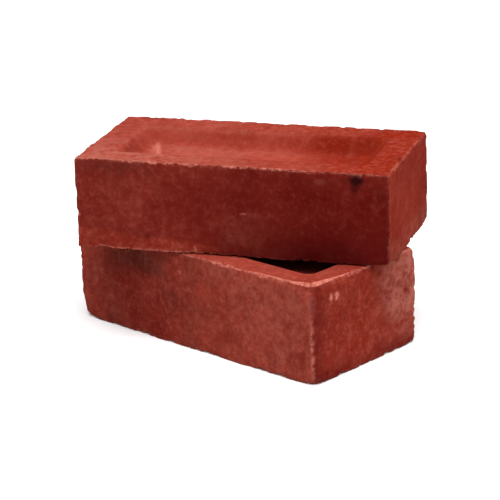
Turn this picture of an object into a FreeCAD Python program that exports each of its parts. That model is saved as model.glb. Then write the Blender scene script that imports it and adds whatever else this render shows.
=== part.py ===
import FreeCAD, Part
import math
import os
import Sketcher

# Two pressed clay building bricks, one lying across the other.
#
# Frame: millimetres, +Z up. The origin is the centre of the lower brick's bed face, the face that it
# rests on. +X runs along the lower brick's length and +Y across its width.
#
# Each brick is one solid piece: a block with worn corners, a plain bed face underneath and a frog on
# top. The frog is the shallow recess with sloping walls that the mould leaves, and mortar keys into it.
# The upper brick rests on the lower brick's rim, turned about the vertical, and is held by its own
# weight alone.

SIZES = {
    # The brick's work size. Fired clay varies a little, so the two heights aren't equal.
    "brick_length": 215.0,
    "brick_width": 102.5,
    "lower_height": 67.0,
    "upper_height": 62.5,
    # Wear: the upright corners, and the edges round both bed faces.
    "corner_radius": 3.0,
    "arris_radius": 1.5,
    # The frog, from its rim to its floor.
    "frog_end_margin": 20.0,
    "frog_side_margin": 20.5,
    "frog_depth": 12.0,
    "frog_slope_run": 9.0,
    "frog_rim_corner": 6.0,
    "frog_floor_corner": 4.0,
    "frog_floor_radius": 3.0,
    "frog_lip_radius": 1.0,
    # Where the upper brick lies: its centre from the lower brick's centre, and its turn in degrees.
    "upper_shift_along": 3.0,
    "upper_shift_across": 9.0,
    "upper_turn": 25.0,
}

BRICKS = ("lower_brick", "upper_brick")

# Sketcher's numbers for a point on a piece of geometry, and for the sketch's own origin.
START, END, CENTRE = 1, 2, 3
ORIGIN = (-1, 1)

NEAR = 0.001  # mm, for telling which plane an edge lies in
CLEAR_VOLUME = 0.01  # mm3, the most that two bricks may share


def add_sheet(doc):
    """The driving dimensions, one named cell each."""
    sheet = doc.addObject("Spreadsheet::Sheet", "Sizes")
    for row, (name, size) in enumerate(SIZES.items(), start=1):
        sheet.set(f"A{row}", name)
        sheet.set(f"B{row}", str(size))
        sheet.setAlias(f"B{row}", name)
    doc.recompute()
    return sheet


def plane_sketch(body, name, height="0"):
    """A sketch parallel to the body's own XY plane, at a height that follows the sheet."""
    sketch = body.newObject("Sketcher::SketchObject", name)
    plane = next(item for item in body.Origin.OriginFeatures if item.Role == "XY_Plane")
    sketch.AttachmentSupport = [(plane, "")]
    sketch.MapMode = "FlatFace"
    sketch.setExpression("AttachmentOffset.Base.z", height)
    return sketch


def bind(sketch, constraint, name, expression):
    """Add a constraint under a name and let the sheet drive it."""
    sketch.renameConstraint(sketch.addConstraint(constraint), name)
    sketch.setExpression(f"Constraints.{name}", expression)


def draw_rounded_rectangle(sketch, length, width, radius):
    """A rectangle centred on the sketch's origin, with rounded corners. The sizes are expressions."""
    long_side, short_side, corner = (
        float(sketch.evalExpression(size)) for size in (length, width, radius)
    )
    x = long_side / 2 - corner
    y = short_side / 2 - corner
    arcs = []
    for turn, (cx, cy) in enumerate(((x, y), (-x, y), (-x, -y), (x, -y))):
        circle = Part.Circle(FreeCAD.Vector(cx, cy, 0), FreeCAD.Vector(0, 0, 1), corner)
        arc = Part.ArcOfCircle(circle, turn * math.pi / 2, (turn + 1) * math.pi / 2)
        arcs.append(sketch.addGeometry(arc))
    lines = []
    for arc, following in zip(arcs, arcs[1:] + arcs[:1]):
        line = Part.LineSegment(sketch.getPoint(arc, END), sketch.getPoint(following, START))
        lines.append(sketch.addGeometry(line))
        sketch.addConstraint(Sketcher.Constraint("Tangent", arc, END, lines[-1], START))
        sketch.addConstraint(Sketcher.Constraint("Tangent", lines[-1], END, following, START))
    back, left, front, right = lines
    for line in (back, front):
        sketch.addConstraint(Sketcher.Constraint("Horizontal", line))
    for line in (left, right):
        sketch.addConstraint(Sketcher.Constraint("Vertical", line))
    for arc in arcs[1:]:
        sketch.addConstraint(Sketcher.Constraint("Equal", arcs[0], arc))
    sketch.addConstraint(
        Sketcher.Constraint("Symmetric", arcs[0], CENTRE, arcs[2], CENTRE, *ORIGIN)
    )
    bind(sketch, Sketcher.Constraint("Radius", arcs[0], corner), "Corner", radius)
    across = Sketcher.Constraint("DistanceX", left, START, right, START, long_side)
    bind(sketch, across, "Length", length)
    upward = Sketcher.Constraint("DistanceY", front, START, back, START, short_side)
    bind(sketch, upward, "Width", width)


def edges_in_plane(shape, height, within=None):
    """Names of the edges that lie at this height, all of them or only those closer in than within."""
    names = []
    for number, edge in enumerate(shape.Edges, start=1):
        box = edge.BoundBox
        if abs(box.ZMin - height) > NEAR or abs(box.ZMax - height) > NEAR:
            continue
        if within is None or max(abs(box.YMin), abs(box.YMax)) < within:
            names.append(f"Edge{number}")
    return names


def add_fillet(body, name, base, edges, radius):
    """Round these edges of the feature before, by a radius from the sheet."""
    fillet = body.newObject("PartDesign::Fillet", name)
    fillet.Base = (base, edges)
    fillet.setExpression("Radius", radius)
    body.Document.recompute()
    return fillet


def add_blank(body, height):
    """The plain block, before the frog is pressed into it."""
    outline = plane_sketch(body, "Outline")
    draw_rounded_rectangle(
        outline, "Sizes.brick_length", "Sizes.brick_width", "Sizes.corner_radius"
    )
    blank = body.newObject("PartDesign::Pad", "Blank")
    blank.Profile = outline
    blank.setExpression("Length", height)
    body.Document.recompute()
    return blank


def add_frog(body, blank, height):
    """The recess in the top face: sloping walls from a wide rim down to a narrower flat floor."""
    rim = plane_sketch(body, "FrogRim", height)
    draw_rounded_rectangle(
        rim,
        "Sizes.brick_length - 2 * Sizes.frog_end_margin",
        "Sizes.brick_width - 2 * Sizes.frog_side_margin",
        "Sizes.frog_rim_corner",
    )
    floor = plane_sketch(body, "FrogFloor", f"{height} - Sizes.frog_depth")
    draw_rounded_rectangle(
        floor,
        "Sizes.brick_length - 2 * Sizes.frog_end_margin - 2 * Sizes.frog_slope_run",
        "Sizes.brick_width - 2 * Sizes.frog_side_margin - 2 * Sizes.frog_slope_run",
        "Sizes.frog_floor_corner",
    )
    frog = body.newObject("PartDesign::SubtractiveLoft", "Frog")
    frog.Profile = rim
    frog.Sections = [floor]
    frog.Ruled = True
    body.Document.recompute()
    if frog.Shape.Volume >= blank.Shape.Volume:
        raise RuntimeError(f"the frog takes nothing out of {body.Label}")
    return frog


def make_brick(doc, name, height):
    """One brick in its own frame: bed face down on Z = 0, frog up."""
    body = doc.addObject("PartDesign::Body", name)
    body.Label = name
    blank = add_blank(body, height)
    frog = add_frog(body, blank, height)
    top = blank.Length.Value
    depth = float(body.evalExpression("Sizes.frog_depth"))
    half_width = float(body.evalExpression("Sizes.brick_width / 2"))
    floor_edges = edges_in_plane(frog.Shape, top - depth)
    scooped = add_fillet(body, "FrogFloorEdge", frog, floor_edges, "Sizes.frog_floor_radius")
    lip_edges = edges_in_plane(scooped.Shape, top, within=half_width - NEAR)
    lipped = add_fillet(body, "FrogLip", scooped, lip_edges, "Sizes.frog_lip_radius")
    shape = lipped.Shape
    bed_edges = edges_in_plane(shape, 0)
    for edge in edges_in_plane(shape, top):
        if edge not in edges_in_plane(shape, top, within=half_width - 2 * NEAR):
            bed_edges.append(edge)
    add_fillet(body, "Arrises", lipped, bed_edges, "Sizes.arris_radius")
    return body


def place_upper(body):
    """Rest the brick on the lower one's rim, off centre and turned across it."""
    body.Placement = FreeCAD.Placement(FreeCAD.Vector(), FreeCAD.Rotation(FreeCAD.Vector(0, 0, 1), 1))
    body.setExpression("Placement.Base.x", "Sizes.upper_shift_along")
    body.setExpression("Placement.Base.y", "Sizes.upper_shift_across")
    body.setExpression("Placement.Base.z", "Sizes.lower_height")
    body.setExpression("Placement.Rotation.Angle", "Sizes.upper_turn")


def check_document(doc, bodies):
    """Stop before anything is written if a feature failed or the bricks run into each other."""
    for item in doc.Objects:
        if {"Invalid", "Error"} & set(item.State):
            raise RuntimeError(f"{item.Name} did not compute: {item.State}")
    for body in bodies:
        if body.Shape.isNull() or not body.Shape.isValid() or len(body.Shape.Solids) != 1:
            raise RuntimeError(f"{body.Label} is not one valid solid")
    lower, upper = bodies
    if lower.Shape.common(upper.Shape).Volume > CLEAR_VOLUME:
        raise RuntimeError("the bricks overlap")


def main():
    doc = FreeCAD.newDocument("stacked_bricks")
    add_sheet(doc)
    heights = ("Sizes.lower_height", "Sizes.upper_height")
    bodies = [make_brick(doc, name, height) for name, height in zip(BRICKS, heights)]
    place_upper(bodies[1])
    doc.recompute()
    check_document(doc, bodies)
    os.makedirs("parts", exist_ok=True)
    for body in bodies:
        body.Shape.exportStep(f"parts/{body.Label}.step")
        box = body.Shape.BoundBox
        print(
            f"{body.Label}: {body.Shape.Volume:.0f} mm3, "
            f"{box.XLength:.1f} x {box.YLength:.1f} x {box.ZLength:.1f} mm"
        )


main()
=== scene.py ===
import math

import bpy
import numpy as np
from mathutils import Matrix, Vector


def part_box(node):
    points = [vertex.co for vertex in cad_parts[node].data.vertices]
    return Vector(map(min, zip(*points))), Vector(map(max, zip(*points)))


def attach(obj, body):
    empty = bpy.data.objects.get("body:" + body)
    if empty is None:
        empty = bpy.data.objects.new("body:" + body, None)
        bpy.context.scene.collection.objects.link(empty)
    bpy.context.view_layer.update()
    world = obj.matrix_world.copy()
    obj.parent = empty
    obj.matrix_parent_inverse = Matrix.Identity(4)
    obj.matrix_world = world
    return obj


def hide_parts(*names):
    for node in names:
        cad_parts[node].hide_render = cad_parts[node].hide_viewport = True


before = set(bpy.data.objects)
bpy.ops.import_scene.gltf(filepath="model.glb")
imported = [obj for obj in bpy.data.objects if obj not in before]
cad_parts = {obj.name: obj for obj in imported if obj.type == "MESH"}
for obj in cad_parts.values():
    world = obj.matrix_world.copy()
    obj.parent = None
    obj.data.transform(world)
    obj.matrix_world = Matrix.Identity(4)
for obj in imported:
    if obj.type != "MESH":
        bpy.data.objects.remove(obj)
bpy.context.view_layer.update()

# Two fired clay bricks, one lying across the other. Each CAD brick is replaced by a fine mesh of the same
# size, with worn and chipped edges, a pressed frog and a rough skin, and a procedural clay material.
#
# A brick's own geometry and marks are in millimetres in its own frame: X along its length, Y across its
# width, Z up, and the origin at its middle. Everything else is in metres, in the row frame.

MM = 0.001

# The frog, as the CAD brick has it, and how soft the bends at its lip and its foot look.
FROG_END_MARGIN = 20.0
FROG_SIDE_MARGIN = 20.5
FROG_DEPTH = 12.0
FROG_SLOPE_RUN = 9.0
FROG_RIM_CORNER = 6.0
FROG_FLOOR_CORNER = 4.0
FROG_LIP_SOFTNESS = 2.6
FROG_FOOT_SOFTNESS = 5.0

# The mesh: fine steps beside the edges, coarser steps between.
EDGE_STEP = 0.56
FACE_STEP = 1.1
EDGE_BAND = 6.0

# How far the skin strays from flat: the face's slow bow, shallow lumps and sandy grain.
BOW = 0.30
LUMPS = 0.07
GRAIN = 0.06

# The edges' radius, from the least to how much more, and how high the tighter band round the bed goes.
EDGE_RADIUS = 0.7
EDGE_RADIUS_MORE = 1.1
BED_BAND = 4.0

# How far the edges crumble inward and wander to and fro, and how far from an edge each is felt.
CRUMBLE, CRUMBLE_REACH = 0.9, 2.0
WANDER, WANDER_REACH = 0.8, 5.0

# The random chips along the edges and pits in the faces: how many, and the smallest and largest radius.
EDGE_CHIPS = (320, 1.0, 4.0)
FACE_PITS = (70, 1.0, 2.6)

# How much a chip's ball bulges in and out, as a share of its radius. Then the odds for X, Y and Z of the
# axis that a chipped edge runs along, and of the axis that a pitted face is square to.
CHIP_LUMPS = 0.3
EDGE_CHIP_ODDS = (0.62, 0.30, 0.08)
FACE_PIT_ODDS = (0.15, 0.35, 0.5)

NEAR = 1e-6  # mm, for telling that a point lies in a face or that two outlines meet

# Places on a brick, as a sign for each axis.
RIGHT, LEFT = (1, 0, 0), (-1, 0, 0)
BACK, FRONT = (0, 1, 0), (0, -1, 0)
TOP, BED = (0, 0, 1), (0, 0, -1)


# ---------------------------------------------------------------- noise

OCTAVE_SHIFT = 17.3  # cells, so that the octaves' cells don't line up


def hashed(cells, seed):
    """A repeatable number from 0 to 1 for each whole-numbered cell."""
    x, y, z = (cells[:, axis].astype(np.int64) for axis in range(3))
    mixed = (x * 374761393 + y * 668265263 + z * 1103515245 + seed * 69069) & 0xFFFFFFFF
    mixed = ((mixed ^ (mixed >> 13)) * 1274126177) & 0xFFFFFFFF
    return (mixed ^ (mixed >> 16)) / 0xFFFFFFFF


def noise(points, size, seed, octaves=1):
    """Smooth random lumps about this many millimetres across, from -1 to 1."""
    total, gain, reach = np.zeros(len(points)), 1.0, 0.0
    for octave in range(octaves):
        place = points * (2**octave / size) + OCTAVE_SHIFT * octave
        cell = np.floor(place)
        part = place - cell
        part = part * part * (3 - 2 * part)
        value = np.zeros(len(points))
        for corner in np.ndindex(2, 2, 2):
            weight = np.prod(np.where(corner, part, 1 - part), axis=1)
            value += weight * hashed(cell + corner, seed + octave)
        total += gain * (2 * value - 1)
        reach += gain
        gain *= 0.5
    return total / reach


def ramp(value, low, high):
    """0 below low, 1 above high and smooth between. Falls instead when low is above high."""
    part = np.clip((value - low) / (high - low), 0, 1)
    return part * part * (3 - 2 * part)


# ---------------------------------------------------------------- the brick's surface


def stations(half):
    """Where the mesh lines cross one axis, from -half to half."""
    inner = half - EDGE_BAND
    edge = np.linspace(inner, half, round(EDGE_BAND / EDGE_STEP) + 1)
    middle = np.linspace(-inner, inner, round(2 * inner / FACE_STEP) + 1)
    return np.concatenate([-edge[::-1], middle[1:-1], edge])


def box_surface(half):
    """The points and outward quads of a closed box, gridded on every face."""
    lines = [stations(extent) for extent in half]
    skin = np.ones([len(line) for line in lines], bool)
    skin[1:-1, 1:-1, 1:-1] = False
    number = (np.cumsum(skin) - 1).reshape(skin.shape)
    points = np.stack(np.meshgrid(*lines, indexing="ij"), -1)[skin]
    quads = []
    for axis in range(3):
        for side in (0, -1):
            face = np.take(number, side, axis=axis)
            around = (face[:-1, :-1], face[1:, :-1], face[1:, 1:], face[:-1, 1:])
            quad = np.stack(around, -1).reshape(-1, 4)
            inward = (side == 0) != (axis == 1)
            quads.append(quad[:, ::-1] if inward else quad)
    return points, np.concatenate(quads)


def round_edges(points, half, radius):
    """The box's points moved onto edges and corners of this radius, and their outward normals."""
    inner = half - radius[:, None]
    core = np.clip(points, -inner, inner)
    normal = points - core
    normal /= np.linalg.norm(normal, axis=1, keepdims=True)
    return core + normal * radius[:, None], normal


def spread(points, half, places):
    """Worn corners and edges added up: for each its side on every axis, 0 along it, how much and how far."""
    total = np.zeros(len(points))
    for side, much, far in places:
        away = np.where(np.array(side) == 0, 0, points - side * half)
        total += much * np.exp(-((np.linalg.norm(away, axis=1) / far) ** 2))
    return total


def outline_distance(points, half_x, half_y, corner):
    """Distance in plan outside a rounded rectangle, negative inside it."""
    x = np.abs(points[:, 0]) - half_x + corner
    y = np.abs(points[:, 1]) - half_y + corner
    outside = np.hypot(np.maximum(x, 0), np.maximum(y, 0))
    return outside + np.minimum(np.maximum(x, y), 0) - corner


def frog_travel(points, half):
    """How far in from the frog's rim each point is, in plan: 0 at the rim, the slope's run at its foot."""
    half_x, half_y = half[0] - FROG_END_MARGIN, half[1] - FROG_SIDE_MARGIN
    past_rim = outline_distance(points, half_x, half_y, FROG_RIM_CORNER)
    floor = (half_x - FROG_SLOPE_RUN, half_y - FROG_SLOPE_RUN, FROG_FLOOR_CORNER)
    past_floor = outline_distance(points, *floor)
    on_slope = FROG_SLOPE_RUN * past_rim / np.minimum(past_rim - past_floor, -NEAR)
    travel = np.where(past_rim > 0, -past_rim, on_slope)
    return np.where(past_floor < 0, FROG_SLOPE_RUN - past_floor, travel)


def soft_ramp(value, softness):
    """0 for low values and the value itself for high ones, with a rounded bend at 0."""
    return (value + np.sqrt(value * value + softness * softness)) / 2


def frog_drop(travel):
    """Depth below the top face, with a rounded lip and a rounded foot."""
    slope = FROG_DEPTH / FROG_SLOPE_RUN
    fall = soft_ramp(travel, FROG_LIP_SOFTNESS)
    return slope * (fall - soft_ramp(travel - FROG_SLOPE_RUN, FROG_FOOT_SOFTNESS))


def edge_gap(points, half):
    """Distance from each point of the box's surface to its nearest edge."""
    return np.sort(half - np.abs(points), axis=1)[:, 1]


def bite(points, centre, radius, seed):
    """Press the points near a centre back onto a lumpy ball, as where a chip came away. Says which."""
    away = points - centre
    far = np.linalg.norm(away, axis=1)
    near = np.flatnonzero(far < (1 + CHIP_LUMPS) * radius)
    direction = away[near] / far[near, None]
    reach = radius * (1 + CHIP_LUMPS * noise(direction * 2, 1.0, seed, octaves=2))
    hit = far[near] < reach
    points[near[hit]] = centre + direction[hit] * reach[hit, None]
    return near[hit]


def edge_chips(half, count, smallest, largest, draw):
    """Random chips along the twelve edges, as centres and radii."""
    for _ in range(count):
        along = draw.choice(3, p=EDGE_CHIP_ODDS)
        side = draw.choice((-1.0, 1.0), 3)
        place = side * half
        place[along] = draw.uniform(-half[along], half[along])
        radius = smallest + (largest - smallest) * draw.random() ** 2
        depth = radius * draw.uniform(0.35, 0.7)
        outward = side.copy()
        outward[along] = 0
        yield place + outward / math.sqrt(2) * (radius - depth), radius


def face_pits(half, count, smallest, largest, draw):
    """Random shallow pits on the faces, as centres and radii."""
    for _ in range(count):
        across = draw.choice(3, p=FACE_PIT_ODDS)
        place = draw.uniform(-half, half)
        side = draw.choice((-1.0, 1.0))
        radius = smallest + (largest - smallest) * draw.random() ** 2
        depth = radius * draw.uniform(0.15, 0.35)
        place[across] = side * (half[across] + radius - depth)
        yield place, radius


def worn_radius(box, half, seed, corners):
    """How round the edges are near each point: tighter at the bed face, and larger at the worn corners."""
    near_bed = ramp(-box[:, 2], half[2] - BED_BAND, half[2])
    radius = EDGE_RADIUS + EDGE_RADIUS_MORE * ramp(noise(box, 18.0, seed + 2, octaves=2), -0.3, 0.7)
    return radius * (1 - 0.6 * near_bed) + spread(box, half, corners)


def worn_away(box, normal, half, seed):
    """How far in each point lies from the plain brick, because of bows, lumps, grain and ragged edges."""
    # The sides stray both ways about the brick's size, and the bed faces only inward, because they rest on
    # something or carry something.
    flat = np.abs(normal[:, 2])
    strays = (
        (BOW, noise(box, 80.0, seed + 3)),
        (LUMPS, noise(box, 10.0, seed + 5, octaves=2)),
        (GRAIN, noise(box, 2.2, seed + 6, octaves=2)),
    )
    sunk = sum(size * (flat - stray) for size, stray in strays)

    gap = edge_gap(box, half)
    near_bed = ramp(-box[:, 2], half[2] - BED_BAND, half[2])
    crumbled = ramp(noise(box, 5.5, seed + 4, octaves=3), -0.1, 0.45) * (1 - 0.8 * near_bed)
    crumbled *= CRUMBLE * np.exp(-((gap / CRUMBLE_REACH) ** 2))

    upright = ramp(half[2] - np.abs(box[:, 2]), 4, 12)
    calm = np.maximum(upright, ramp(box[:, 1], 0, half[1]))
    wander = noise(box, 13.0, seed + 12, octaves=2) * (1 - 0.55 * calm)
    wander *= WANDER * np.exp(-((gap / WANDER_REACH) ** 2))
    return sunk + crumbled + wander


def break_pieces_off(points, half, seed, chips):
    """Bite the brick's own chips and the random chips and pits out of it. Says where an edge is broken."""
    draw = np.random.default_rng(seed)
    broken = np.zeros(len(points))
    for place, size in chips:
        broken[bite(points, np.array(place), size, seed + 7)] = 1
    for number, (place, size) in enumerate(edge_chips(half, *EDGE_CHIPS, draw)):
        broken[bite(points, place, size, seed + 8 + number)] = 1
    for number, (place, size) in enumerate(face_pits(half, *FACE_PITS, draw)):
        bite(points, place, size, seed + 300 + number)
    return broken


def worn_brick(half, seed, chips, corners):
    """Points, quads and surface masks of one brick. chips and corners are its own large chips and wear."""
    box, quads = box_surface(half)
    on_top = box[:, 2] >= half[2] - NEAR
    travel = frog_travel(box, half) + 0.5 * noise(box, 14.0, seed + 1, octaves=2)

    points, normal = round_edges(box, half, worn_radius(box, half, seed, corners))
    points -= normal * worn_away(box, normal, half, seed)[:, None]
    points[:, 2] -= np.where(on_top, frog_drop(travel), 0)
    broken = break_pieces_off(points, half, seed, chips)
    points[:, 2] = np.clip(points[:, 2], -half[2], half[2])

    # The edges are rubbed, more so round the top.
    top_edge = np.exp(-(((half[2] - box[:, 2]) / 4.0) ** 2))
    rubbed_and_highlit = np.exp(-((edge_gap(box, half) / 1.3) ** 2)) * (0.2 + 0.8 * top_edge)
    rubbed_and_highlit *= 0.85 + 0.9 * noise(box, 5.0, seed + 9, octaves=3)
    masks = {
        "worn": np.clip(rubbed_and_highlit + 0.35 * broken, 0, 1),
        "normal": normal,
        "frog": on_top * ramp(travel, -2.0, 1.0),
        "wall": on_top * ramp(travel, 0.0, 3.0) * ramp(travel, FROG_SLOPE_RUN + 5, FROG_SLOPE_RUN),
    }
    return points, quads, masks


# ---------------------------------------------------------------- marks on the faces


def facing(normals, side):
    """1 on the face on this side of the brick, fading out where its rounded edges turn away."""
    return ramp(normals @ np.array(side, float), 0.40, 0.75)


def patch(points, centre, reach, seed, raggedness=0.5):
    """1 at a place on the surface, fading to 0 at a ragged outline this far from it along each axis."""
    far = np.linalg.norm((points - centre) / np.array(reach), axis=1)
    far += raggedness * noise(points, max(2.0, 0.7 * min(reach)), seed, octaves=3)
    return ramp(far, 1.25, 0.35)


def stroke(points, start, end, reach, seed):
    """A patch drawn out along a straight line."""
    start, along = np.array(start), np.array(end) - np.array(start)
    share = np.clip((points - start) @ along / (along @ along), 0, 1)
    return patch(points - share[:, None] * along, start, reach, seed)


def on_front(half, x, z):
    return (x, -half[1], z)


def on_end(half, y, z):
    return (half[0], y, z)


# The marks below are each stain's share, from 0 to 1; some are painted shade, sheen and highlights. A patch
# is given its centre, its reach, its own seed and, where it isn't the usual, its raggedness.


def upper_marks(points, half, masks):
    """How much of each stain, and of painted shade, sheen and highlight, the upper brick has at each point.
    """
    x, y, z = points.T
    normal, frog, wall = masks["normal"], masks["frog"], masks["wall"]
    top, front, end = (facing(normal, side) for side in (TOP, FRONT, RIGHT))
    hidden = np.maximum.reduce([facing(normal, side) for side in (BACK, LEFT, BED)])
    rim = top * (1 - frog)
    cloud = noise(points, 34.0, 41, 3)

    # The top's deep red right part, the paler strip along the front's bottom left, and the front's bottom
    # right, painted darker crimson as shade.
    rightward = ramp(x + 0.4 * y + 8 * cloud, 20, 75)
    strip = front * ramp(z + 0.07 * x, -23, -27) * ramp(x, 0, -35)
    shaded_low_right = front * ramp(z, 4, -24) * ramp(x, 0, 45)

    # The front is burnt dark, and painted darker still as shade, since it gets less of the overhead light
    # than the top.
    burnt_and_shaded = front * (0.64 + 0.34 * ramp(x, -50, 55) + 0.28 * cloud) - 0.3 * strip
    burnt_and_shaded -= 0.12 * front * ramp(z, 10, 26) * ramp(x, 20, 60)
    burnt_and_shaded += end * (0.34 + 0.16 * ramp(y, -20, 40) + 0.2 * cloud) + 0.4 * hidden * (1 + cloud)
    # Painted shade in the frog: its back wall is darker, and so is a patch on its left wall.
    burnt_and_shaded += (0.2 * frog + 0.16 * rim) * rightward + 0.12 * wall * ramp(y, 5, 15)
    burnt_and_shaded += 0.32 * wall * patch(points, (-82, -8, half[2] - 5), (10, 24, 12), 40, 0.2)

    orange = rightward * (rim + 0.95 * frog) + 0.4 * wall * ramp(x, -60, -20) + 0.4 * strip + 0.05 * end
    bright = frog * (0.6 * ramp(x, 60, 20) + 0.5 * wall * ramp(x, -85, -60)) + 0.2 * rim

    # Pale dust, with a painted sheen over the front left of the top's rim and of the frog.
    dust_and_sheen = rim * (0.12 * ramp(x, 90, 50) + 0.55 * ramp(x, 30, -70) * ramp(y, 30, -40) + 0.22 * cloud)
    dust_and_sheen += 0.45 * frog * ramp(x - 0.5 * y + 20 * cloud, 60, -60) * (1 - 0.85 * wall)
    dust_and_sheen += 0.03 * front * ramp(x, -40, -95) + 0.25 * end * ramp(z, -12, -24)
    dust_and_sheen += 0.1 * front * patch(points, on_front(half, 8, -12), (22, 9, 14), 39)

    smoky = 0.25 * (front - shaded_low_right) * ramp(noise(points, 22.0, 42, 3), 0.1, 0.7)
    smoky += 0.4 * patch(points, on_front(half, -78, 26), (26, 6, 6), 37)
    smoky += 0.5 * patch(points, on_end(half, 36, -25), (4, 16, 5), 34, 0.3)

    # Soot and painted shade: the dark blot under the front's top edge and the drip below it, painted shade
    # over the front's bottom right and along its bottom, a nick in the right end's top edge, and a small
    # spot at the left.
    soot_and_shade = patch(points, on_front(half, 86, 26.5), (5.6, 6, 3.6), 43, 0.35)
    soot_and_shade += 0.6 * patch(points, on_front(half, 84.5, 21.5), (4.2, 6, 4.0), 44, 0.3)
    soot_and_shade += 0.22 * shaded_low_right + 0.15 * patch(points, on_front(half, 66, -26), (30, 9, 11), 33, 0.3)
    soot_and_shade += 0.9 * patch(points, on_end(half, -15, half[2]), (4, 3.5, 3), 46)
    soot_and_shade += 0.5 * patch(points, on_front(half, -58, -21), (2.2, 3, 1.8), 38)

    # Lime: the smear in the left of the frog, then the scratch, the faint spot and the streak on the front.
    floor = half[2] - FROG_DEPTH + 1
    limed_and_highlit = 0.48 * stroke(points, (-68, 4, floor), (-74.5, 20, floor), (1.7, 3, 5), 45)
    limed_and_highlit += 0.3 * stroke(points, (-73.5, 10, floor), (-76, 16, floor), (1.3, 1.8, 5), 49)
    limed_and_highlit += 0.36 * patch(points, on_front(half, 9, -1), (2.2, 3, 0.7), 47)
    limed_and_highlit += 0.1 * patch(points, on_front(half, 62, 24), (4, 4, 2.4), 36)
    limed_and_highlit += 0.4 * patch(points, on_front(half, -25, -28), (1.2, 3, 3), 48)

    # A painted highlight: a pale line along the front's bottom edge at the left.
    low_edge = np.exp(-(((z + half[2]) / 1.6) ** 2)) * ramp(y, 3 - half[1], 1 - half[1])
    worn = masks["worn"] * (1 - 0.5 * ramp(x, 30, 75))
    worn += 0.5 * low_edge * ramp(x, -10, -22) * ramp(x, -100, -85)

    coarse = 0.6 + 0.4 * rim + (0.16 - 0.3 * rightward) * frog - 0.22 * end
    coarse += 0.1 * front * ramp(x, 0, -50) - 0.3 * shaded_low_right
    return {
        "burnt_and_shaded": burnt_and_shaded, "orange": orange, "bright": bright, "dust_and_sheen": dust_and_sheen, "smoky": smoky,
        "soot_and_shade": soot_and_shade, "limed_and_highlit": limed_and_highlit, "worn": worn, "coarse": coarse,
    }


def lower_marks(points, half, masks):
    """The same for the lower brick."""
    x, y, z = points.T
    normal, frog = masks["normal"], masks["frog"]
    top, front, end = (facing(normal, side) for side in (TOP, FRONT, RIGHT))
    hidden = np.maximum(facing(normal, BACK), facing(normal, LEFT))
    cloud = noise(points, 30.0, 51, 3)
    inboard = ramp(x, -120, -70)
    upward = normal[:, 2]

    burnt_and_shaded = front * (0.15 + 0.44 * ramp(x, 10, -40) * inboard + 0.25 * cloud) + 0.4 * hidden * (1 + cloud)
    burnt_and_shaded += end * (0.38 + 0.4 * cloud + 0.35 * ramp(z, -20, -32) + 0.25 * ramp(-y, 30, 52))
    # Painted shade on the end just below the near top corner, under the band where its rounding turns up.
    burnt_and_shaded += 0.35 * end * spread(points, half, [((1, -1, 1), 1.0, 17)]) * ramp(upward, 0.88, 0.6)
    # The frog is painted darker as shade, as it lies under the upper brick.
    burnt_and_shaded += 0.2 * top * ramp(x, 82, 94) + 0.3 * frog

    orange = end * (0.5 * ramp(y, 24, -6) + 0.25 * ramp(z, 0, -25)) + 0.35 * top * ramp(x, 70, 100)

    dust_and_sheen = 0.02 + 0.1 * ramp(x, -50, -90) + 0.15 * ramp(x + 14 * cloud, 0, 70)
    dust_and_sheen = front * (dust_and_sheen + 0.15 * noise(points, 16.0, 56, 3) + 0.14 * ramp(z, 4, 26) * ramp(x, -25, 20))
    dust_and_sheen += end * (0.8 * ramp(y + 0.35 * z + 12 * cloud, 14, 36) * ramp(z, -36, 0) + 0.06) + 0.08 * top

    smoky = front * (0.1 + 0.4 * ramp(noise(points, 26.0, 57, 3), 0.0, 0.6)) * ramp(x, 60, -10) * inboard
    smoky += 0.75 * patch(points, on_front(half, -50, 20), (30, 9, 11), 52, 0.3)
    smoky += 0.25 * patch(points, on_front(half, -22, 0), (14, 9, 16), 59, 0.5)

    # Lime: two spots side by side on the right end and a faint one on the front; and a painted highlight on
    # the near top corner.
    limed_and_highlit = 0.9 * patch(points, on_end(half, -33.5, 22.5), (4, 1.9, 2.9), 53)
    limed_and_highlit += 0.9 * patch(points, on_end(half, -28, 22), (4, 2.1, 3.0), 54)
    limed_and_highlit += 0.25 * patch(points, on_front(half, -10, 19), (2, 3, 2), 55)

    # The near top corner, worn round, gets a painted highlight in a band where it turns over, and so does
    # the upright edge below it. Specks of the same highlight are laid on with the worn edges.
    speck = noise(points, 3.0, 58, 3)
    rubbed_and_highlit = spread(points, half, [((1, -1, 1), 3.0, 30), ((0.75, -1, 1), 1.0, 12)])
    rubbed_and_highlit *= ramp(upward, 0.80, 0.89) * ramp(upward, 0.9995, 0.988)
    limed_and_highlit += 0.45 * np.clip(rubbed_and_highlit, 0, 1) * (1 + 0.5 * speck) * (1 - frog)
    rubbed_and_highlit += spread(points, half, [((0.985, -1, 0), 0.66, 1.2)]) * ramp(z, half[2] - 4, half[2] - 12)
    kept = 1 - np.clip(spread(points, half, [((1, -1, 1), 1.2, 34)]), 0, 1)
    return {
        "burnt_and_shaded": burnt_and_shaded, "orange": orange, "bright": 0.1 * top, "dust_and_sheen": dust_and_sheen, "smoky": smoky,
        "soot_and_shade": np.zeros(len(points)), "limed_and_highlit": limed_and_highlit,
        "worn": masks["worn"] * kept + rubbed_and_highlit * (1 + 0.8 * speck) * (1 - frog),
        "coarse": 0.62 + 0.2 * np.maximum(top, end) + 0.26 * front * ramp(x, 0, 70),
    }


# ---------------------------------------------------------------- material


def node(tree, kind, settings=None, **inputs):
    """A shader node with its settings and inputs. An input is a value or another node's output."""
    made = tree.nodes.new(kind)
    for name, value in (settings or {}).items():
        setattr(made, name, value)
    for name, value in inputs.items():
        feed(tree, made.inputs[name.replace("_", " ")], value)
    return made


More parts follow.
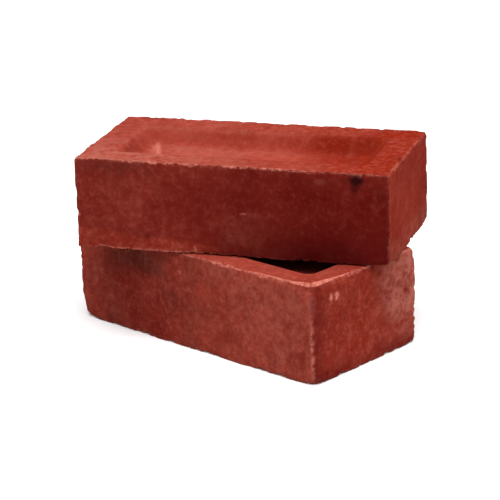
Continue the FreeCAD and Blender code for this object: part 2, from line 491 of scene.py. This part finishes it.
def feed(tree, socket, value):
    """Link the socket to another node's output, or set its own value."""
    if isinstance(value, bpy.types.NodeSocket):
        tree.links.new(value, socket)
    elif socket.type == "RGBA":
        socket.default_value = (*value, 1)
    else:
        socket.default_value = value


def mask(tree, name):
    return node(tree, "ShaderNodeAttribute", {"attribute_name": name}).outputs["Fac"]


def clouds(tree, place, size_mm, seed, detail=3.0, roughness=0.55):
    """Noise with lumps about this many millimetres across, from 0 to 1."""
    made = node(
        tree, "ShaderNodeTexNoise", {"noise_dimensions": "4D"}, Vector=place, W=float(seed),
        Scale=1 / (size_mm * MM), Detail=detail, Roughness=roughness,
    )
    return made.outputs["Fac"]


def between(tree, value, low, high, top=1.0):
    """0 at low, top at high, and clamped."""
    made = node(tree, "ShaderNodeMapRange", {"interpolation_type": "SMOOTHSTEP"}, Value=value)
    made.inputs["From Min"].default_value = low
    made.inputs["From Max"].default_value = high
    made.inputs["To Max"].default_value = top
    return made.outputs["Result"]


def times(tree, first, second):
    made = node(tree, "ShaderNodeMath", {"operation": "MULTIPLY"})
    feed(tree, made.inputs[0], first)
    feed(tree, made.inputs[1], second)
    return made.outputs["Value"]


def mixed(tree, share, first, second):
    """Two colours mixed. share is how much of the second, as a number or an output."""
    made = node(tree, "ShaderNodeMix", {"data_type": "RGBA"})
    first_socket, second_socket = (socket for socket in made.inputs if socket.type == "RGBA")
    feed(tree, made.inputs["Factor"], share)
    feed(tree, first_socket, first)
    feed(tree, second_socket, second)
    return next(socket for socket in made.outputs if socket.type == "RGBA")


# Linear colours.
CLAY = (0.235, 0.031, 0.0185)
DEEP_CLAY = (0.200, 0.024, 0.0145)
BRIGHT_CLAY = (0.320, 0.045, 0.028)
RED_CLAY = (0.225, 0.0155, 0.0050)
# Burnt clay, also laid on as painted shade.
BURNT_AND_SHADE = (0.086, 0.0040, 0.0031)
SMOKE = (0.070, 0.014, 0.0095)
# Dust, also laid on as a painted sheen.
DUST_AND_SHEEN = (0.350, 0.105, 0.078)
PALE_GRAIN = (0.370, 0.082, 0.055)
DARK_GRAIN = (0.070, 0.006, 0.0045)
# Fresh clay at worn edges, also laid on as painted highlight.
FRESH_AND_HIGHLIGHT = (0.470, 0.145, 0.104)
# Lime, also laid on as painted highlight.
LIME_AND_HIGHLIGHT = (0.640, 0.220, 0.165)
# Soot, also laid on as painted shade.
SOOT_AND_SHADE = (0.016, 0.0022, 0.0030)


def clay_material(name, seed):
    """Fired clay: mottled, sandy, flecked, worn pale at the edges, with the masks' marks and painted shade,
    sheen and highlights on it.

    The colours are laid on one after another, from the clay's own to the marks on top. Each cloud's size is
    in millimetres.
    """
    material = bpy.data.materials.new(name)
    material.use_nodes = True
    tree = material.node_tree
    tree.nodes.clear()
    place = node(tree, "ShaderNodeTexCoord").outputs["Object"]
    # Lumps placed by this are drawn out upwards, as the mould's sides drag the clay.
    drawn_out = node(tree, "ShaderNodeVectorMath", {"operation": "MULTIPLY"})
    feed(tree, drawn_out.inputs[0], place)
    feed(tree, drawn_out.inputs[1], (1.0, 1.0, 0.3))
    dragged = clouds(tree, drawn_out.outputs["Vector"], 5, seed + 6, 2, 0.5)

    def stain(mask_name, texture, low, high, stain_colour, most=1.0):
        """The colour so far, with another laid on where the mask is, broken up by a texture.

        The stain starts where the texture is at low and is at its most where it is at high.
        """
        share = times(tree, mask(tree, mask_name), between(tree, texture, low, high, most))
        return mixed(tree, share, colour, stain_colour)

    colour = mixed(tree, between(tree, clouds(tree, place, 26, seed, 4), 0.4, 0.62), CLAY, DEEP_CLAY)
    colour = stain("bright", clouds(tree, place, 9, seed + 1, 4), 0.2, 0.5, BRIGHT_CLAY)
    colour = stain("orange", clouds(tree, place, 11, seed + 2, 4), 0.25, 0.5, RED_CLAY)
    # Burnt clay, and painted shade, laid on where its mask says.
    colour = stain("burnt_and_shaded", clouds(tree, place, 9, seed + 3, 3, 0.6), 0.0, 0.42, BURNT_AND_SHADE)
    colour = stain("smoky", clouds(tree, place, 9, seed + 4, 4, 0.6), 0.1, 0.55, SMOKE)

    blotches = clouds(tree, place, 7, seed + 5, 2.5, 0.55)
    colour = stain("pitted", blotches, 0.55, 0.75, DARK_GRAIN, 0.22)
    colour = stain("speckled", blotches, 0.46, 0.28, BRIGHT_CLAY, 0.18)
    mottle = clouds(tree, place, 15, seed + 14, 2, 0.5)
    colour = stain("pitted", mottle, 0.50, 0.68, DARK_GRAIN, 0.16)
    colour = stain("speckled", mottle, 0.48, 0.30, DUST_AND_SHEEN, 0.10)
    colour = stain("speckled", dragged, 0.52, 0.8, DUST_AND_SHEEN, 0.2)
    # Dust, and a painted sheen, laid on where its mask says.
    colour = stain("dust_and_sheen", clouds(tree, place, 7, seed + 7, 5, 0.74), 0.3, 0.64, DUST_AND_SHEEN)

    grain = clouds(tree, place, 5.0, seed + 8, 3, 0.6)
    colour = stain("speckled", grain, 0.48, 0.72, PALE_GRAIN, 0.40)
    colour = stain("pitted", grain, 0.50, 0.28, DARK_GRAIN, 0.40)
    sand = clouds(tree, place, 2.2, seed + 13, 1, 0.5)
    colour = stain("speckled", sand, 0.52, 0.78, PALE_GRAIN, 0.30)
    colour = stain("pitted", sand, 0.48, 0.24, DARK_GRAIN, 0.24)
    colour = stain("speckled", clouds(tree, place, 3.2, seed + 9, 1.5, 0.5), 0.75, 0.81, LIME_AND_HIGHLIGHT, 0.3)
    # Fresh clay at worn edges, and painted highlight, laid on where its mask says.
    colour = stain("worn", clouds(tree, place, 2.6, seed + 10, 3), 0.36, 0.60, FRESH_AND_HIGHLIGHT, 0.9)
    # Soot, and painted shade, laid on where its mask says.
    colour = stain("soot_and_shade", clouds(tree, place, 3, seed + 11, 4), 0.15, 0.42, SOOT_AND_SHADE, 0.95)
    # Lime, and painted highlight, laid on where its mask says.
    colour = stain("limed_and_highlit", clouds(tree, place, 1.6, seed + 12, 3), 0.25, 0.5, LIME_AND_HIGHLIGHT, 0.7)

    fine = node(tree, "ShaderNodeBump", Strength=0.4, Distance=0.22 * MM, Height=grain)
    coarse = node(
        tree, "ShaderNodeBump", Strength=0.5, Distance=0.25 * MM, Height=blotches,
        Normal=fine.outputs["Normal"],
    )
    skin = node(
        tree, "ShaderNodeBsdfPrincipled", Base_Color=colour, Normal=coarse.outputs["Normal"],
        Roughness=between(tree, grain, 0.2, 0.8, 0.95), IOR=1.45,
    )
    skin.inputs["Specular IOR Level"].default_value = 0.0
    skin.inputs["Diffuse Roughness"].default_value = 0.6
    surface = node(tree, "ShaderNodeOutputMaterial", Surface=skin.outputs["BSDF"])
    surface.is_active_output = True
    return material


# ---------------------------------------------------------------- pieces


def plan_turn(name):
    """How far a CAD brick's length is turned from +X, from how its corners are spread in plan."""
    plan = np.array([vertex.co.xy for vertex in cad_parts[name].data.vertices])
    plan -= (plan.min(0) + plan.max(0)) / 2
    moments = plan.T @ plan
    return 0.5 * math.atan2(2 * moments[0, 1], moments[0, 0] - moments[1, 1])


def add_brick(cad_node, body, slot, half_plan, seed, chips, corners, marks):
    """A worn brick in place of a CAD brick, in the same place and of the same size."""
    low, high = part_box(cad_node)
    half = np.array([*half_plan, (high.z - low.z) / 2 / MM])
    points, quads, masks = worn_brick(half, seed, chips, corners)
    stains = marks(points, half, masks)
    # How strongly the pale and the dark grain show: the pale less on burnt clay and painted shade, the dark
    # less on top.
    coarse = stains.pop("coarse")
    stains["speckled"] = coarse * (1 - 0.6 * ramp(stains["burnt_and_shaded"], 0.3, 0.9))
    stains["pitted"] = coarse * (1 - 0.4 * facing(masks["normal"], TOP))

    mesh = bpy.data.meshes.new(cad_node + "_clay")
    mesh.from_pydata((points * MM).tolist(), [], quads.tolist())
    mesh.polygons.foreach_set("use_smooth", [True] * len(quads))
    for name, values in stains.items():
        layer = mesh.attributes.new(name, "FLOAT", "POINT")
        layer.data.foreach_set("value", np.clip(values, 0, 1).astype(np.float32))
    mesh.materials.append(clay_material(slot + "_fired", seed))
    piece = bpy.data.objects.new(mesh.name, mesh)
    bpy.context.scene.collection.objects.link(piece)
    centre = Matrix.Translation((low + high) / 2)
    piece.matrix_world = centre @ Matrix.Rotation(plan_turn(cad_node), 4, "Z")
    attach(piece, body)
    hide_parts(cad_node)


def add_bricks():
    """Both bricks, each with its own large chips and worn corners.

    A chip is the centre and the radius of the ball that it leaves. A worn corner is its side on every axis,
    how much rounder it is, and how far the wear reaches.
    """
    low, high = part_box("lower_brick")
    end, side = (high.x - low.x) / 2 / MM, (high.y - low.y) / 2 / MM
    lower_chips = [
        ((end + 4, side + 4, 38), 10),
        ((-end - 3, -side - 3, -37), 9),
    ]
    lower_corners = [
        ((1, -1, 1), 8.0, 16),
        ((1, -1, 1), 3.0, 45),
        ((1, -1, 0), 1.2, 6),
        ((1, -1, -1), 3.5, 10),
        ((-1, -1, -1), 5.0, 14),
        ((1, 1, 1), 2.5, 10),
        ((1, 1, -1), 3.0, 10),
    ]
    upper_chips = [
        ((end + 2.5, -15, 33.5), 5.5),
        ((end + 5, -side - 4, -36), 11),
        ((end + 2, side + 2, 31), 5),
        ((-end - 3, -side + 3, 35), 7),
        ((-end - 3, 4, 34), 6),
        ((-end - 3, 30, 35), 7),
    ]
    upper_corners = [
        ((1, -1, -1), 5.0, 14),
        ((-1, 1, 1), 1.0, 14),
        ((-1, 0, 1), 1.0, 10),
        ((1, 1, -1), 2.5, 10),
    ]
    plan = (end, side)
    add_brick("lower_brick", "lower", "lower_clay", plan, 11, lower_chips, lower_corners, lower_marks)
    add_brick("upper_brick", "upper", "upper_clay", plan, 23, upper_chips, upper_corners, upper_marks)


# ---------------------------------------------------------------- floor, light and camera

CAMERA_AZIMUTH = math.radians(43.463)
CAMERA_ELEVATION = math.radians(19.109)
CAMERA_ROLL = math.radians(-2.191)
CAMERA_DISTANCE = 1.6108
CAMERA_TARGET = Vector((0.00334, 0.00307, 0.05603))
CAMERA_LENS_MM = 171.78

# The softbox: its azimuth from the camera's side, its elevation, how far and wide it is, and its power.
SOFTBOX_AZIMUTH = math.radians(10)
SOFTBOX_ELEVATION = math.radians(68)
SOFTBOX_DISTANCE = 9.0
SOFTBOX_WIDTH = 10.8
SOFTBOX_WATTS = 1845
SKY_STRENGTH = 0.30

FLOOR_SIZE = 30.0
FLOOR_COLOUR = (0.9, 0.9, 0.9)


def direction(azimuth, elevation):
    """From the object towards a place at this azimuth from the front and elevation."""
    flat = math.cos(elevation)
    return Vector((math.sin(azimuth) * flat, -math.cos(azimuth) * flat, math.sin(elevation)))


def add_camera():
    camera = bpy.data.objects.new("camera", bpy.data.cameras.new("camera"))
    bpy.context.scene.collection.objects.link(camera)
    camera.data.sensor_width = 36.0
    camera.data.lens = CAMERA_LENS_MM
    back = direction(CAMERA_AZIMUTH, CAMERA_ELEVATION)
    level = (-back).to_track_quat("-Z", "Y").to_matrix().to_4x4()
    place = Matrix.Translation(CAMERA_TARGET + back * CAMERA_DISTANCE)
    camera.matrix_world = place @ level @ Matrix.Rotation(CAMERA_ROLL, 4, "Z")
    bpy.context.scene.camera = camera


def add_softbox():
    """A large square area light above the bricks, aimed at them."""
    lamp = bpy.data.lights.new("overhead", "AREA")
    lamp.size = SOFTBOX_WIDTH
    lamp.energy = SOFTBOX_WATTS
    softbox = bpy.data.objects.new("overhead", lamp)
    bpy.context.scene.collection.objects.link(softbox)
    away = direction(CAMERA_AZIMUTH + SOFTBOX_AZIMUTH, SOFTBOX_ELEVATION)
    softbox.location = CAMERA_TARGET + away * SOFTBOX_DISTANCE
    softbox.rotation_euler = (-away).to_track_quat("-Z", "Y").to_euler()


def add_floor():
    mesh = bpy.data.meshes.new("floor")
    reach = FLOOR_SIZE / 2
    corners = [(-reach, -reach, 0), (reach, -reach, 0), (reach, reach, 0), (-reach, reach, 0)]
    mesh.from_pydata(corners, [], [(0, 1, 2, 3)])
    material = bpy.data.materials.new("floor")
    material.use_nodes = True
    skin = material.node_tree.nodes["Principled BSDF"]
    skin.inputs["Base Color"].default_value = (*FLOOR_COLOUR, 1)
    skin.inputs["Roughness"].default_value = 0.9
    mesh.materials.append(material)
    floor = bpy.data.objects.new("floor", mesh)
    bpy.context.scene.collection.objects.link(floor)


def add_sky():
    world = bpy.data.worlds.new("studio")
    bpy.context.scene.world = world
    world.use_nodes = True
    sky = world.node_tree.nodes["Background"]
    sky.inputs["Color"].default_value = (1, 1, 1, 1)
    sky.inputs["Strength"].default_value = SKY_STRENGTH
    bpy.context.scene.view_settings.view_transform = "Standard"


add_camera()
add_bricks()
add_floor()
add_softbox()
add_sky()
